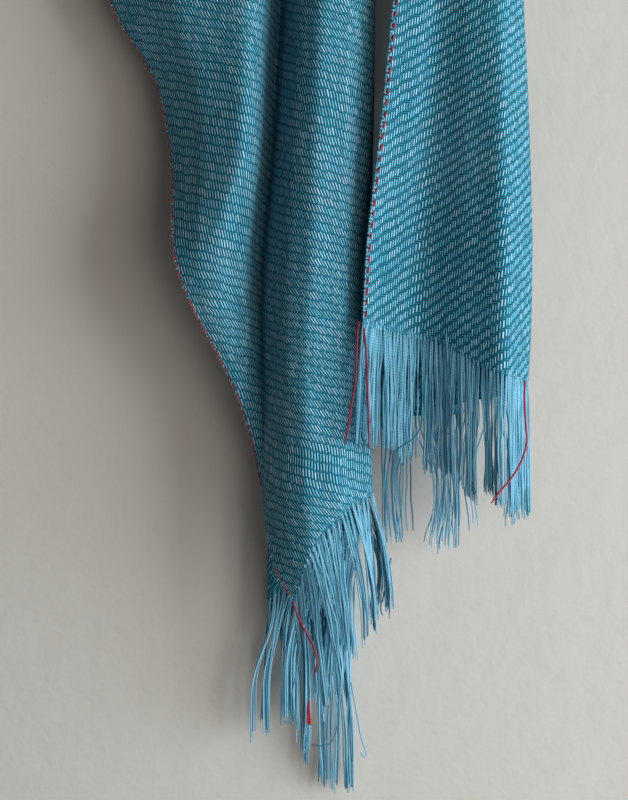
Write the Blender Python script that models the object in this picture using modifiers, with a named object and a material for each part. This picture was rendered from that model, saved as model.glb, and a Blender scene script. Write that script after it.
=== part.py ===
# A rebozo shawl hung by its middle over a turned wooden wall peg: two gathered tails with
# fringed hems, the left one behind and the right one crossing in front of it.
# Metres, +Z up. The origin is the middle of the wall plate's back face, the wall is the plane
# y = 0 and the shawl hangs on its -Y side. Tables are in millimetres: a drop is measured
# down from the peg's axis, sideways is +X and forward is the distance out from the wall.

import math

import bpy
import bmesh
import numpy as np
from mathutils import Vector

MM = 0.001

# The cloth
WALL = 0.0016
SEAM_GAP = 0.0003
HEM_GAP = 0.0008

# The peg and its plate
PLATE_RADIUS = 0.038
PLATE_THICK = 0.014
PLATE_EDGE = 0.004
PEG_RADIUS = 0.016
PEG_END = 0.150
KNOB_RADIUS = 0.021
KNOB_LENGTH = 0.014
TOUCH_GAP = 0.0003

# The gathers over the peg
GATHER_FRONT = 0.131
GATHER_BACK = 0.025
GATHER_COUNT = 12
GATHER_INNER = PEG_RADIUS + WALL / 2 + 0.0008
GATHER_HEIGHT = 0.0195
# How far down the gathers fade, the tail spreads from the peg's line, and its folds open out
PLEAT_FADE = 0.118
LINE_FADE = 0.360
NECK_DROP = 0.400
NECK_SHARE = 0.35

# How finely the cloth is divided
COLUMNS = 48
SIDE_COLUMNS = 2
TURN_COLUMNS = 2
STRANDS = 70
ARC_STEPS = 8
SECTION_SAMPLES = 300
ROUNDING = 0.0045
ROW_SHARES = (0, 0.03, 0.06, 0.09, 0.13, 0.18, 0.24, 0.31, 0.38, 0.45, 0.505, 0.555, 0.605,
              0.655, 0.705, 0.755, 0.805, 0.85, 0.895, 0.935, 0.97, 1)

STRIP_HEIGHT = 0.004
STRAND_TIP_SHARE = 0.55

# Left tail. A row for each fold line that shows, from the front selvedge to where the cloth
# turns behind, and a pair (sideways, forward) at each level of drop.
LEFT_LEVELS = (400, 476, 603, 701, 816, 892, 935, 965, 987)
LEFT_FOLDS = {
    "selvedge": ((-231, 52), (-214, 52), (-163, 60), (-157, 91), (-104, 80), (-84, 60), (-78, 90),
                 (-70, 102), (-56, 114)),
    "wing_crest": ((-84, 112), (-94, 113), (-101, 112), (-121, 104), (-96, 79), (-82.5, 63),
                   (-77.8, 90.5), (-69.5, 102.5), (-55.2, 114.6)),
    "wing_root": ((-71, 99), (-80, 98), (-87, 97), (-97, 89), (-90, 73), (-81.5, 67), (-77.5, 91),
                  (-68.9, 103), (-54.2, 115.1)),
    "valley": ((-60, 52), (-68, 52), (-76, 52), (-84, 54), (-83, 62), (-80.5, 73), (-77, 91.8),
               (-68, 103.8), (-53, 115.7)),
    "roll_left": ((-57, 84), (-60, 84), (-68, 84), (-77, 84), (-79, 84), (-80, 84), (-76, 93),
                  (-67, 104.5), (-51, 116.5)),
    "roll_shoulder": ((-49, 110), (-52, 110), (-58, 111), (-62, 112), (-64, 112), (-65, 111),
                      (-63, 112), (-55, 114), (-43, 119)),
    "roll_crest": ((-30, 124), (-32, 124), (-38, 124.5), (-42, 124.5), (-46, 124.5), (-46, 124),
                   (-43, 124), (-37, 124), (-29, 123)),
    "roll_brow": ((-8, 120), (-9, 120), (-12, 119), (-14, 118), (-16, 118), (-16, 118), (-14, 117),
                  (-12, 116), (-9, 116)),
    "roll_right": ((13, 92), (13, 92), (11, 91), (9, 90), (9, 90), (11, 90), (12, 89), (12, 89),
                   (12, 88)),
}
# Between two levels the front selvedge swings in further: drop, sideways, forward.
LEFT_EDGE_POINT = (540, -177, 54)
# Before its crest the wing bows out from the straight: how far across from the selvedge, and
# how far out, as shares of the way between the two.
WING_MIDDLE = 0.52
WING_BOW = 0.115
# The column that runs down each of these folds, the wing's bow second, and the drops between
# which the columns leave the folds to stand evenly round the roll.
LEFT_COLUMNS = (0, 4, 7, 9, 11, 14, 16, 19, 22, 24)
LEFT_EVENED = (780, 890)
# The hem across these folds: share of the way from the selvedge, drop.
LEFT_HEM = ((0, 987), (0.22, 969), (0.36, 950), (0.55, 927), (0.81, 905), (1, 897))
# The flat layers folded behind, one by one towards the wall: how far forward each lies, its
# columns, the hem's drop where it ends, and how far sideways that end is at each level.
LEFT_LAYERS = {
    "inner": (46, 3, 904, (4, 2, -12, -36, -46, -50, -52, -54, -56)),
    "middle": (37.5, 3, 931, (7, 6, 4, 3, 2, 2, 2, 2, 2)),
    "back": (29, 3, 989, (-70, -72, -76, -79, -80, -80, -80, -80, -80)),
    "low": (20, 3, 1033, (-18, -14, -4, 2, 0, -4, -6, -6, -6)),
    "last": (11, 2, 1027, (-20, -16, -8, 0, -16, -36, -42, -48, -52)),
}
# The fringe: share of the way along the hem, how far its ends swing sideways, its length.
LEFT_FRINGE = (
    (0, 13, 115), (0.1, 15, 115), (0.25, 16, 115), (0.33, 15, 115), (0.43, 2, 115),
    (0.55, 0, 115), (0.66, -18, 115), (0.73, -18, 115), (0.83, 0, 115), (1, 2, 115),
)

# Right tail, in the same form.
RIGHT_LEVELS = (400, 476, 587, 697, 756, 803, 829)
RIGHT_FOLDS = {
    "selvedge": ((36, 121), (28, 121), (16, 122), (3, 123), (0, 124), (-1, 124), (-2, 124)),
    "left_slope": ((53, 118), (46, 117), (34, 114), (20, 112), (17, 112), (16, 112), (15, 112)),
    "hollow": ((70, 112), (65, 110), (57, 103), (49, 98), (47, 96), (46, 95), (46, 95)),
    "right_swell": ((112, 124), (116, 124), (120, 127), (121, 130), (121, 130), (121, 130),
                    (121, 130)),
    "outer_edge": ((137, 99), (139.5, 99), (144.5, 97), (147, 96), (146, 95), (143.5, 94),
                   (142, 94)),
}
RIGHT_COLUMNS = (0, 3, 7, 17, 22)
RIGHT_EVENED = (900, 1000)
RIGHT_HEM = (
    (0, 750), (0.13, 754), (0.33, 761), (0.43, 766), (0.52, 773), (0.65, 786), (0.82, 796),
    (1, 801),
)
RIGHT_LAYERS = {
    "back": (59, 7, 829, (36, 36, 32, 25, 20, 18, 18)),
    "middle": (46, 4, 827, (122, 122, 117, 102, 90, 86, 86)),
    "inner": (33, 4, 823, (36, 36, 34, 31, 31, 34, 34)),
    "last": (20, 3, 821, (98, 96, 84, 66, 56, 54, 54)),
}
RIGHT_FRINGE = ((0, -11, 103), (0.07, 0, 104), (0.15, 0, 115), (1, 0, 115))

COLOURS = {
    "cloth": (0.02, 0.17, 0.26),
    "fringe": (0.13, 0.37, 0.50),
    "wood": (0.30, 0.17, 0.09),
}


def clear_scene():
    for item in list(bpy.data.objects):
        bpy.data.objects.remove(item)


def material(name, colour, roughness):
    mat = bpy.data.materials.new(name)
    mat.use_nodes = True
    shader = mat.node_tree.nodes["Principled BSDF"]
    shader.inputs["Base Color"].default_value = (*colour, 1)
    shader.inputs["Roughness"].default_value = roughness
    return mat


def between_levels(levels, values, drop):
    """Values of one column at a drop: a smooth cubic through the levels, level past their ends."""
    slopes = np.gradient(values, levels)
    drop = np.clip(drop, levels[0], levels[-1])
    row = np.clip(np.searchsorted(levels, drop, side="right") - 1, 0, len(levels) - 2)
    step = levels[row + 1] - levels[row]
    t = (drop - levels[row]) / step
    return (
        (2 * t**3 - 3 * t**2 + 1) * values[row]
        + (t**3 - 2 * t**2 + t) * step * slopes[row]
        + (3 * t**2 - 2 * t**3) * values[row + 1]
        + (t**3 - t**2) * step * slopes[row + 1]
    )


def smooth_share(t):
    t = min(max(t, 0.0), 1.0)
    return t * t * (3 - 2 * t)


class Tail:
    """One tail of the shawl: level sections through its fold lines.

    A column is a line down the cloth. It keeps to one fold, or to one place between two, and
    each turn between two layers has columns of its own.
    """

    def __init__(self, side, levels, folds, fold_columns, evened, near_hem, layers):
        self.side = side
        self.levels = np.array(levels) * MM
        self.folds = [np.array(row) * MM for row in folds.values()]
        self.layers = [(out * MM, np.array(ends) * MM) for out, _, _, ends in layers.values()]
        self.evened = [drop * MM for drop in evened]
        self.anchors = [(column, corner) for corner, column in enumerate(fold_columns)]
        self.hem = [(share * fold_columns[-1], drop * MM) for share, drop in near_hem]
        column = fold_columns[-1] + SIDE_COLUMNS
        corner = len(self.folds)
        for _, columns, drop, _ in layers.values():
            self.anchors += [(column, corner), (column + columns, corner + 1)]
            column += columns
            self.hem += [(column, drop * MM), (column + TURN_COLUMNS, drop * MM)]
            column += TURN_COLUMNS
            corner += 2
        self.sections = {}

    def hem_drop(self, column):
        columns, drops = zip(*self.hem)
        return float(np.interp(column, columns, drops))

    def corners(self, drop):
        """The section's corners at this drop, drawn together above the neck."""
        points = [
            [between_levels(self.levels, row[:, axis], drop) for axis in (0, 1)]
            for row in self.folds
        ]
        for forward, ends in self.layers:
            end = between_levels(self.levels, ends, drop)
            points += [[points[-1][0], forward], [end, forward]]
        share = NECK_SHARE + (1 - NECK_SHARE) * smooth_share(drop / NECK_DROP)
        middle = np.array([0, (GATHER_FRONT + GATHER_BACK) / 2])
        return middle + (np.array(points) - middle) * share

    def section(self, drop):
        """(columns, their places, places along the section, points there), rounded at folds."""
        key = round(drop / 0.0001)
        if key not in self.sections:
            corners = self.corners(drop)
            runs = np.hypot(*np.diff(corners, axis=0).T)
            along = np.concatenate([[0], np.cumsum(runs)])
            places = np.linspace(0, along[-1], SECTION_SAMPLES)
            points = np.stack([np.interp(places, along, corners[:, k]) for k in (0, 1)], axis=1)
            reach = ROUNDING * (1 + 4 * line_share(drop))
            points = rounded(points, reach / (places[1] - places[0]))
            columns, used = zip(*self.anchors)
            anchored = along[list(used)]
            start, end = self.evened
            near = len(self.folds)
            even = anchored[near - 1] * np.array(columns[:near]) / columns[near - 1] - anchored[:near]
            anchored[:near] += even * smooth_share((drop - start) / (end - start))
            self.sections[key] = (columns, anchored, places, points)
        return self.sections[key]

    def unpleated(self, column, drop):
        """The middle of the wall: a line along the peg that opens into the folded section."""
        columns, anchor_places, places, points = self.section(drop)
        place = np.interp(column, columns, anchor_places)
        sideways, forward = (float(np.interp(place, places, points[:, k])) for k in (0, 1))
        line = line_share(drop)
        return Vector((
            sideways + (self.side * GATHER_INNER - sideways) * line,
            (along_peg(column / COLUMNS) + forward) * line - forward,
            -drop,
        ))

    def point(self, column, drop):
        """Where the wall's middle lies at a column and a drop, with its gathers."""
        height = pleat(column) * GATHER_HEIGHT * (1 - smooth_share(drop / PLEAT_FADE))
        place = self.unpleated(column, drop)
        if not height:
            return place
        before = self.unpleated(max(column - 1, 0), drop)
        after = self.unpleated(min(column + 1, COLUMNS), drop)
        out = Vector((after.y - before.y, before.x - after.x, 0)).normalized() * self.side
        return place + out * height


def with_edge_point(levels, folds, layers, edge_point):
    """The same tables with one more level, where only the selvedge leaves its smooth line."""
    drop, *place = edge_point
    marks = np.array(levels, float)
    row = int(np.searchsorted(marks, drop))

    def fuller(values):
        values = np.array(values, float)
        return np.insert(values, row, between_levels(marks, values, drop))

    folds = {name: np.stack([fuller(part) for part in zip(*pairs)], axis=1)
             for name, pairs in folds.items()}
    folds["selvedge"][row] = place
    layers = {name: (*start, fuller(ends)) for name, (*start, ends) in layers.items()}
    return np.insert(marks, row, drop), folds, layers


def with_wing_bow(folds):
    """The left tail's folds, with one more where the wing bows out before its crest."""
    selvedge = folds["selvedge"]
    across = folds["wing_crest"] - selvedge
    out = np.stack([-across[:, 1], across[:, 0]], axis=1)
    bow = selvedge + across * WING_MIDDLE + out * WING_BOW
    rest = {name: row for name, row in folds.items() if name != "selvedge"}
    return {"selvedge": selvedge, "wing_bow": bow, **rest}


def line_share(drop):
    """How far the tail is still the straight line along the peg at this drop."""
    return 1 - smooth_share(drop / LINE_FADE) ** 1.5


def pleat(column):
    """0 at the foot of each gather and 1 at its top."""
    return 1 - abs(2 * (column * GATHER_COUNT / COLUMNS % 1) - 1)


def along_peg(share):
    return share * (GATHER_FRONT - GATHER_BACK) - GATHER_FRONT


def rounded(points, reach):
    """Points averaged with their neighbours, so that folds turn in a curve. Both ends stay."""
    half = int(3 * reach)
    weights = np.exp(-0.5 * (np.arange(-half, half + 1) / reach) ** 2)
    weights /= weights.sum()
    before = 2 * points[0] - points[half:0:-1]
    after = 2 * points[-1] - points[-2:-half - 2:-1]
    longer = np.concatenate([before, points, after])
    return np.stack([np.convolve(longer[:, axis], weights, "valid") for axis in (0, 1)], axis=1)


def gather_point(column, angle):
    """The cloth where it lies gathered round the peg, at an angle about the peg's axis."""
    radius = GATHER_INNER + GATHER_HEIGHT * pleat(column)
    sideways = radius * math.cos(angle)
    return Vector((sideways, along_peg(column / COLUMNS), radius * math.sin(angle)))


def mesh_object(name, collection, mat, verts, faces):
    mesh = bpy.data.meshes.new(name)
    mesh.from_pydata([tuple(v) for v in verts], [], faces)
    mesh.materials.append(mat)
    mesh.validate()
    obj = bpy.data.objects.new(name, mesh)
    collection.objects.link(obj)
    return obj


def face_out(obj):
    bm = bmesh.new()
    bm.from_mesh(obj.data)
    bmesh.ops.recalc_face_normals(bm, faces=bm.faces)
    bm.to_mesh(obj.data)
    bm.free()


def smooth(obj, degrees=50):
    obj.data.shade_smooth()
    obj.data.set_sharp_from_angle(angle=math.radians(degrees))


def grid_faces(rows, columns):
    return [
        (r * columns + c, r * columns + c + 1, (r + 1) * columns + c + 1, (r + 1) * columns + c)
        for r in range(rows - 1)
        for c in range(columns - 1)
    ]


def cloth_wall(name, collection, mat, rows):
    """An open sheet of points, row by row, given the cloth's thickness."""
    verts = [point for row in rows for point in row]
    obj = mesh_object(name, collection, mat, verts, grid_faces(len(rows), len(rows[0])))
    wall = obj.modifiers.new("wall", "SOLIDIFY")
    wall.thickness = WALL
    wall.offset = 0
    wall.use_even_offset = False
    smooth(obj)
    return obj


def make_tail(name, collection, mat, tail):
    drops = [tail.hem_drop(column) - SEAM_GAP for column in range(COLUMNS + 1)]
    rows = [
        [tail.point(column, SEAM_GAP + down * drop) for column, drop in enumerate(drops)]
        for down in ROW_SHARES
    ]
    return cloth_wall(name, collection, mat, rows)


def make_over_peg(collection, mat):
    """The stretch of cloth that lies over the peg, between the two tails."""
    rows = [
        [gather_point(column, math.pi * step / ARC_STEPS) for column in range(COLUMNS + 1)]
        for step in range(ARC_STEPS + 1)
    ]
    return cloth_wall("over_peg", collection, mat, rows)


def along_hem(tail):
    """Points along the hem's edge as the wall has it, spaced about evenly between its columns."""
    edge = [tail.point(column, tail.hem_drop(column)) for column in range(COLUMNS + 1)]
    runs = [(b - a).length for a, b in zip(edge, edge[1:])]
    pitch = sum(runs) / (2 * STRANDS)
    points = []
    for start, end, run in zip(edge, edge[1:], runs):
        pieces = max(1, round(run / pitch))
        points += [start.lerp(end, piece / pieces) for piece in range(pieces)]
    return points + edge[-1:]


def make_fringe(name, collection, mat, tail, fringe):
    """A strip just below the hem, with a strand drawn down from every other piece of it."""
    shares, swings, lengths = (np.array(row) for row in zip(*fringe))
    tops = along_hem(tail)
    last = len(tops) - 1
    verts = []
    for k, top in enumerate(tops):
        ahead = tops[min(k + 1, last)] - tops[max(k - 1, 0)]
        level = ahead.xy.length
        out = Vector((ahead.y, -ahead.x, 0)) * (WALL / 2 / level)
        gap = HEM_GAP * min(ahead.length / level, 3)
        for height in (-gap, -gap - STRIP_HEIGHT):
            for side in (out, -out):
                verts.append(top + side + Vector((0, 0, height)))
    faces = [(0, 1, 3, 2), tuple(4 * last + i for i in (0, 2, 3, 1))]
    for k in range(last):
        a, b = 4 * k, 4 * (k + 1)
        faces += [(a, b, b + 1, a + 1), (a, a + 2, b + 2, b), (a + 1, b + 1, b + 3, a + 3)]
        if k % 2:
            faces.append((a + 2, a + 3, b + 3, b + 2))
            continue
        share = (k + 0.5) / last
        swing = float(np.interp(share, shares, swings)) * MM
        long = float(np.interp(share, shares, lengths)) * MM - STRIP_HEIGHT
        roots = [a + 2, a + 3, b + 3, b + 2]
        middle = sum((verts[i] for i in roots), Vector()) / 4
        first = len(verts)
        for i in roots:
            drawn = middle + (verts[i] - middle) * STRAND_TIP_SHARE
            verts.append(Vector((drawn.x + swing, drawn.y, middle.z - long)))
        tips = [first + i for i in range(4)]
        faces.append(tuple(tips))
        faces += [
            (roots[i], roots[(i + 1) % 4], tips[(i + 1) % 4], tips[i]) for i in range(4)
        ]
    obj = mesh_object(name, collection, mat, verts, faces)
    face_out(obj)
    return obj


def turned(name, collection, mat, profile):
    """A profile of (radius, forward) pairs turned about the peg's axis."""
    mesh = bpy.data.meshes.new(name)
    verts = [(radius, 0, forward) for radius, forward in profile]
    mesh.from_pydata(verts, [(i, i + 1) for i in range(len(verts) - 1)], [])
    mesh.materials.append(mat)
    obj = bpy.data.objects.new(name, mesh)
    collection.objects.link(obj)
    screw = obj.modifiers.new("turn", "SCREW")
    screw.steps = 24
    screw.render_steps = 24
    screw.use_merge_vertices = True
    screw.merge_threshold = 0.0001
    screw.use_smooth_shade = True
    obj.rotation_euler = (math.pi / 2, 0, 0)
    return obj


def make_plate(collection, mat):
    return turned("wall_plate", collection, mat, (
        (0, PLATE_THICK),
        (PLATE_RADIUS - PLATE_EDGE, PLATE_THICK),
        (PLATE_RADIUS, PLATE_THICK - PLATE_EDGE),
        (PLATE_RADIUS, 0),
        (0, 0),
    ))


def make_peg(collection, mat):
    knob_start = PEG_END - KNOB_LENGTH
    return turned("peg", collection, mat, (
        (0, PEG_END),
        (KNOB_RADIUS * 0.6, PEG_END - 0.001),
        (KNOB_RADIUS * 0.92, PEG_END - 0.0045),
        (KNOB_RADIUS, PEG_END - 0.008),
        (KNOB_RADIUS * 0.86, knob_start),
        (PEG_RADIUS, knob_start - 0.002),
        (PEG_RADIUS, PLATE_THICK + 0.008),
        (PEG_RADIUS * 1.16, PLATE_THICK + TOUCH_GAP),
        (0, PLATE_THICK + TOUCH_GAP),
    ))


def build():
    clear_scene()
    shawl = bpy.data.collections.new("rebozo_shawl")
    bpy.context.scene.collection.children.link(shawl)
    cloth = material("blue_cloth", COLOURS["cloth"], 0.85)
    yarn = material("fringe_yarn", COLOURS["fringe"], 0.8)
    wood = material("turned_wood", COLOURS["wood"], 0.55)
    levels, folds, layers = with_edge_point(LEFT_LEVELS, LEFT_FOLDS, LEFT_LAYERS,
                                            LEFT_EDGE_POINT)
    left = Tail(-1, levels, with_wing_bow(folds), LEFT_COLUMNS, LEFT_EVENED, LEFT_HEM, layers)
    right = Tail(1, RIGHT_LEVELS, RIGHT_FOLDS, RIGHT_COLUMNS, RIGHT_EVENED, RIGHT_HEM,
                 RIGHT_LAYERS)
    make_tail("left_tail", shawl, cloth, left)
    make_tail("right_tail", shawl, cloth, right)
    make_over_peg(shawl, cloth)
    make_fringe("left_fringe", shawl, yarn, left, LEFT_FRINGE)
    make_fringe("right_fringe", shawl, yarn, right, RIGHT_FRINGE)
    make_plate(shawl, wood)
    make_peg(shawl, wood)


build()
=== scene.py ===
import math

import bpy
import numpy as np
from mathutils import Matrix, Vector


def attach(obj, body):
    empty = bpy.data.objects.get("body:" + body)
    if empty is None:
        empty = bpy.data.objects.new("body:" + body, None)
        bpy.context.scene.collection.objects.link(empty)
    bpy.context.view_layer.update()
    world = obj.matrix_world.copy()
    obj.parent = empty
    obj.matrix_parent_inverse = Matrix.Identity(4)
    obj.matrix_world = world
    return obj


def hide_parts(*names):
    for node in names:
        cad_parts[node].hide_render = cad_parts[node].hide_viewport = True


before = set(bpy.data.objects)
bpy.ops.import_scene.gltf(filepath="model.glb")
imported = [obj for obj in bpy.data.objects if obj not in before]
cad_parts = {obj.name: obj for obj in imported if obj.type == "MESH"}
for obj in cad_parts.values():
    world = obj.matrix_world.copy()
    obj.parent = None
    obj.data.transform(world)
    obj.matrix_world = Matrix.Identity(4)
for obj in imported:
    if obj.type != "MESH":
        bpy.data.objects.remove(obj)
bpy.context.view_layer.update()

bpy.ops.object.select_all(action="DESELECT")
rng = np.random.default_rng(41)
mm = 0.001

# Sizes of the part's own frame: metres, +Z up, wall at y = 0, the shawl on its -Y side.
# A drop is measured down from the peg's axis and forward is the distance out from the wall.
photo = {"mmPerPixel": 0.85, "pegColumn": 360, "topDrop": 476, "middle": (314, 400)}


def atPixel(column, row, forward):  # a place on the photograph, at a distance from the wall
    x = (column - photo["pegColumn"]) * photo["mmPerPixel"] * mm
    z = -(photo["topDrop"] + row * photo["mmPerPixel"]) * mm
    return Vector((x, -forward * mm, z))


# Shape of the two tails

gather = {
    "front": 0.131, "back": 0.025, "count": 12, "inner": 0.0176, "height": 0.0195,
    "pleatFade": 0.118, "lineFade": 0.360, "neckDrop": 0.400, "neckShare": 0.35,
    "columns": 48, "sideColumns": 2, "turnColumns": 2, "rounding": 0.0045, "width": 0.48,
}

leftTail = {
    "side": -1,
    "levels": (400, 476, 603, 701, 816, 892, 935, 965, 987),
    "folds": {
        "selvedge": ((-231, 52), (-214, 52), (-163, 60), (-157, 91), (-104, 80), (-84, 60),
                     (-78, 90), (-70, 102), (-56, 114)),
        "wingCrest": ((-84, 112), (-94, 113), (-101, 112), (-121, 104), (-96, 79), (-82.5, 63),
                      (-77.8, 90.5), (-69.5, 102.5), (-55.2, 114.6)),
        "wingRoot": ((-71, 99), (-80, 98), (-87, 97), (-97, 89), (-90, 73), (-81.5, 67),
                     (-77.5, 91), (-68.9, 103), (-54.2, 115.1)),
        "valley": ((-60, 52), (-68, 52), (-76, 52), (-84, 54), (-83, 62), (-80.5, 73), (-77, 91.8),
                   (-68, 103.8), (-53, 115.7)),
        "rollLeft": ((-57, 84), (-60, 84), (-68, 84), (-77, 84), (-79, 84), (-80, 84), (-76, 93),
                     (-67, 104.5), (-51, 116.5)),
        "rollShoulder": ((-49, 110), (-52, 110), (-58, 111), (-62, 112), (-64, 112), (-65, 111),
                         (-63, 112), (-55, 114), (-43, 119)),
        "rollCrest": ((-30, 124), (-32, 124), (-38, 124.5), (-42, 124.5), (-46, 124.5), (-46, 124),
                      (-43, 124), (-37, 124), (-29, 123)),
        "rollBrow": ((-8, 120), (-9, 120), (-12, 119), (-14, 118), (-16, 118), (-16, 118),
                     (-14, 117), (-12, 116), (-9, 116)),
        "rollRight": ((13, 92), (13, 92), (11, 91), (9, 90), (9, 90), (11, 90), (12, 89), (12, 89),
                      (12, 88)),
    },
    # between two levels the front selvedge swings in further: drop, sideways, forward
    "edgePoint": (540, -177, 54),
    # before its crest the wing bows out: shares of the way across and out, from the selvedge
    "wingMiddle": 0.52, "wingBow": 0.115,
    "foldColumns": (0, 4, 7, 9, 11, 14, 16, 19, 22, 24),
    "evened": (780, 890),
    "hem": ((0, 987), (0.22, 969), (0.36, 950), (0.55, 927), (0.81, 905), (1, 897)),
    "layers": {
        "inner": (46, 3, 904, (4, 2, -12, -36, -46, -50, -52, -54, -56)),
        "middle": (37.5, 3, 931, (7, 6, 4, 3, 2, 2, 2, 2, 2)),
        "back": (29, 3, 989, (-70, -72, -76, -79, -80, -80, -80, -80, -80)),
        "low": (20, 3, 1033, (-18, -14, -4, 2, 0, -4, -6, -6, -6)),
        "last": (11, 2, 1027, (-20, -16, -8, 0, -16, -36, -42, -48, -52)),
    },
    "warpTurn": 28,
    # soft creases: column, its reach in columns, first and last drop, height in mm
    "creases": (
        (3.2, 1.1, 430, 760, -2.2), (7.6, 0.9, 380, 700, 1.6), (10.2, 0.8, 300, 820, -1.4),
        (13.2, 0.7, 420, 900, 1.0), (15.4, 0.8, 360, 720, -1.1), (16.4, 0.7, 640, 960, 0.9),
        (18.6, 0.9, 300, 640, 1.2), (19.3, 0.8, 690, 930, -1.2), (21.2, 0.8, 420, 800, -1.0),
        (4.4, 0.8, 250, 420, 2.0), (12.0, 0.9, 240, 380, -2.0), (27.5, 0.9, 300, 820, 1.6),
        (33.0, 1.0, 260, 760, -1.5), (38.0, 1.1, 320, 900, 1.8), (42.5, 1.0, 420, 960, -1.6),
    ),
}

rightTail = {
    "side": 1,
    "levels": (400, 476, 587, 697, 756, 803, 829),
    "folds": {
        "selvedge": ((36, 121), (28, 121), (16, 122), (3, 123), (0, 124), (-1, 124), (-2, 124)),
        "leftSlope": ((53, 118), (46, 117), (34, 114), (20, 112), (17, 112), (16, 112), (15, 112)),
        "hollow": ((70, 112), (65, 110), (57, 103), (49, 98), (47, 96), (46, 95), (46, 95)),
        "rightSwell": ((112, 124), (116, 124), (120, 127), (121, 130), (121, 130), (121, 130),
                       (121, 130)),
        "outerEdge": ((137, 99), (139.5, 99), (144.5, 97), (147, 96), (146, 95), (143.5, 94),
                      (142, 94)),
    },
    "foldColumns": (0, 3, 7, 17, 22),
    "evened": (900, 1000),
    "hem": ((0, 750), (0.13, 754), (0.33, 761), (0.43, 766), (0.52, 773), (0.65, 786),
            (0.82, 796), (1, 801)),
    "layers": {
        "back": (59, 7, 829, (36, 36, 32, 25, 20, 18, 18)),
        "middle": (46, 4, 827, (122, 122, 117, 102, 90, 86, 86)),
        "inner": (33, 4, 823, (36, 36, 34, 31, 31, 34, 34)),
        "last": (20, 3, 821, (98, 96, 84, 66, 56, 54, 54)),
    },
    "warpTurn": -10,
    "creases": (
        (0.0, 1.1, 380, 1180, 3.2), (4.6, 0.9, 360, 700, 1.0), (8.2, 2.2, 380, 1180, -5.6),
        (12.2, 0.9, 300, 720, 0.8), (16.8, 1.7, 380, 1180, 3.0), (16.3, 0.7, 330, 640, -1.2),
        (19.4, 0.7, 470, 800, 1.0), (9.4, 0.9, 240, 420, -1.8), (27.0, 1.0, 300, 760, 1.6),
        (30.0, 0.8, 420, 800, -1.2), (35.0, 1.0, 300, 780, 1.4), (41.0, 1.0, 340, 760, -1.4),
    ),
}


def smoothShare(t):
    t = np.clip(t, 0.0, 1.0)
    return t * t * (3 - 2 * t)


def lineShare(drop):  # 1 at the peg, where the tail is a straight line, 0 where it hangs free
    return 1 - smoothShare(drop / gather["lineFade"]) ** 1.5


def alongPeg(share):
    return share * (gather["front"] - gather["back"]) - gather["front"]


def pleat(columns):  # 0 at the foot of a gather and 1 at its top
    return 0.5 - 0.5 * np.cos(2 * math.pi * columns * gather["count"] / gather["columns"])


def betweenLevels(levels, values, drop):  # a smooth cubic through a fold's levels
    slopes = np.gradient(values, levels)
    drop = np.clip(drop, levels[0], levels[-1])
    row = int(np.clip(np.searchsorted(levels, drop, side="right") - 1, 0, len(levels) - 2))
    step = levels[row + 1] - levels[row]
    t = (drop - levels[row]) / step
    return (
        (2 * t**3 - 3 * t**2 + 1) * values[row]
        + (t**3 - 2 * t**2 + t) * step * slopes[row]
        + (3 * t**2 - 2 * t**3) * values[row + 1]
        + (t**3 - t**2) * step * slopes[row + 1]
    )


def rounded(points, reach):
    half = int(3 * reach)
    weights = np.exp(-0.5 * (np.arange(-half, half + 1) / reach) ** 2)
    weights /= weights.sum()
    before = 2 * points[0] - points[half:0:-1]
    after = 2 * points[-1] - points[-2:-half - 2:-1]
    longer = np.concatenate([before, points, after])
    return np.stack([np.convolve(longer[:, k], weights, "valid") for k in (0, 1)], axis=1)


def addEdgePoint(tail):  # one more level, where only the selvedge leaves its smooth line
    drop, *place = tail["edgePoint"]
    marks = np.array(tail["levels"], float)
    row = int(np.searchsorted(marks, drop))

    def fuller(values):
        values = np.array(values, float)
        return np.insert(values, row, betweenLevels(marks, values, drop))

    tail["folds"] = {name: np.stack([fuller(part) for part in zip(*pairs)], axis=1)
                     for name, pairs in tail["folds"].items()}
    tail["folds"]["selvedge"][row] = place
    tail["layers"] = {name: (*start, fuller(ends))
                      for name, (*start, ends) in tail["layers"].items()}
    tail["levels"] = np.insert(marks, row, drop)


def addWingBow(tail):  # one more fold, where the wing bows out before its crest
    selvedge = tail["folds"]["selvedge"]
    across = tail["folds"]["wingCrest"] - selvedge
    out = np.stack([-across[:, 1], across[:, 0]], axis=1)
    bow = selvedge + across * tail["wingMiddle"] + out * tail["wingBow"]
    rest = {name: row for name, row in tail["folds"].items() if name != "selvedge"}
    tail["folds"] = {"selvedge": selvedge, "wingBow": bow, **rest}


def tailPlan(tail):  # columns and hem of a tail, worked out once from its tables
    near = len(tail["folds"])
    last = tail["foldColumns"][-1]
    anchors = [(column, corner) for corner, column in enumerate(tail["foldColumns"])]
    hem = [(share * last, drop * mm) for share, drop in tail["hem"]]
    column, corner = last + gather["sideColumns"], near
    for _, columns, drop, _ in tail["layers"].values():
        anchors += [(column, corner), (column + columns, corner + 1)]
        column += columns
        hem += [(column, drop * mm), (column + gather["turnColumns"], drop * mm)]
        column += gather["turnColumns"]
        corner += 2
    tail["anchors"], tail["hemTable"] = anchors, np.array(hem)


def hemDrop(tail, columns):
    return np.interp(columns, tail["hemTable"][:, 0], tail["hemTable"][:, 1])


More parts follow.
